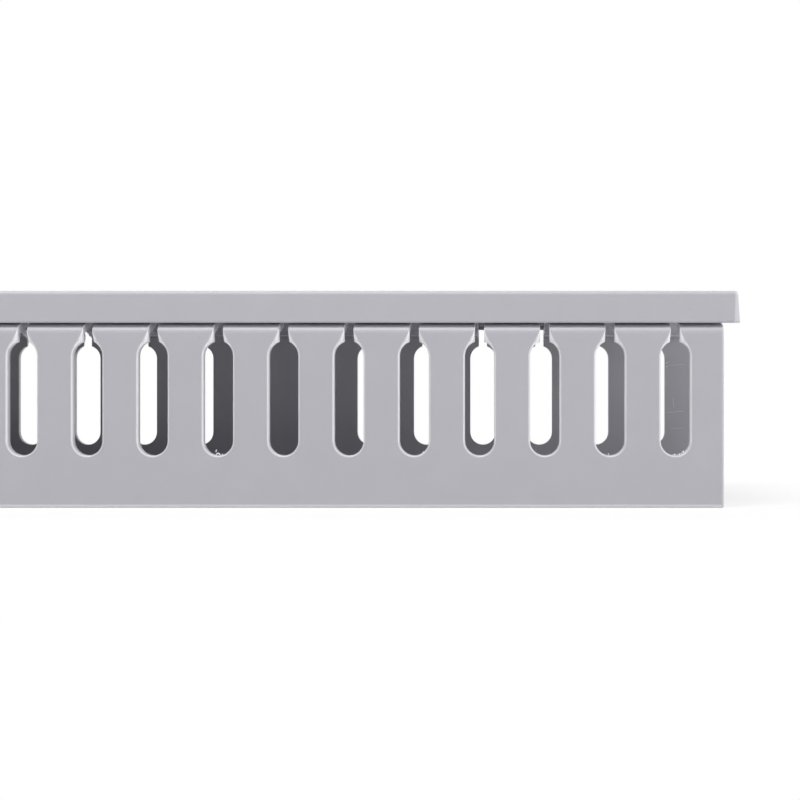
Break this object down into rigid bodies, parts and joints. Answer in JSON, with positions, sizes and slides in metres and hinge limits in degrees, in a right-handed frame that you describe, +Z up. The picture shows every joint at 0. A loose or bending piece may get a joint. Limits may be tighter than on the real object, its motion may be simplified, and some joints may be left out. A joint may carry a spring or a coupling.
{
  "type": "slotted wire duct",
  "caption": "Straight square plastic channel with rows of keyhole slots between fingers in both walls, and a flat snap-fit cover.",
  "frame": {"origin": "middle of the channel's flat underside", "axes": "+X along the duct towards the end with the short slot margin, past which the cover stands out 3.1 mm; +Y across it; +Z up from the base to the cover"},
  "size_m": [1.0031, 0.04, 0.0416],
  "materials": {
    "channel_pvc": "light grey rigid PVC, satin as extruded",
    "cover_pvc": "light grey rigid PVC, satin as extruded"
  },
  "bodies": {
    "channel": {"duct_channel": "channel_pvc"},
    "cover": {"snap_cover": "cover_pvc"}
  },
  "joints": [
    {"name": "cover_slide", "type": "slide", "parent": "channel", "child": "cover", "axis": [1, 0, 0], "range_m": [-1.01, 1.01]}
  ]
}
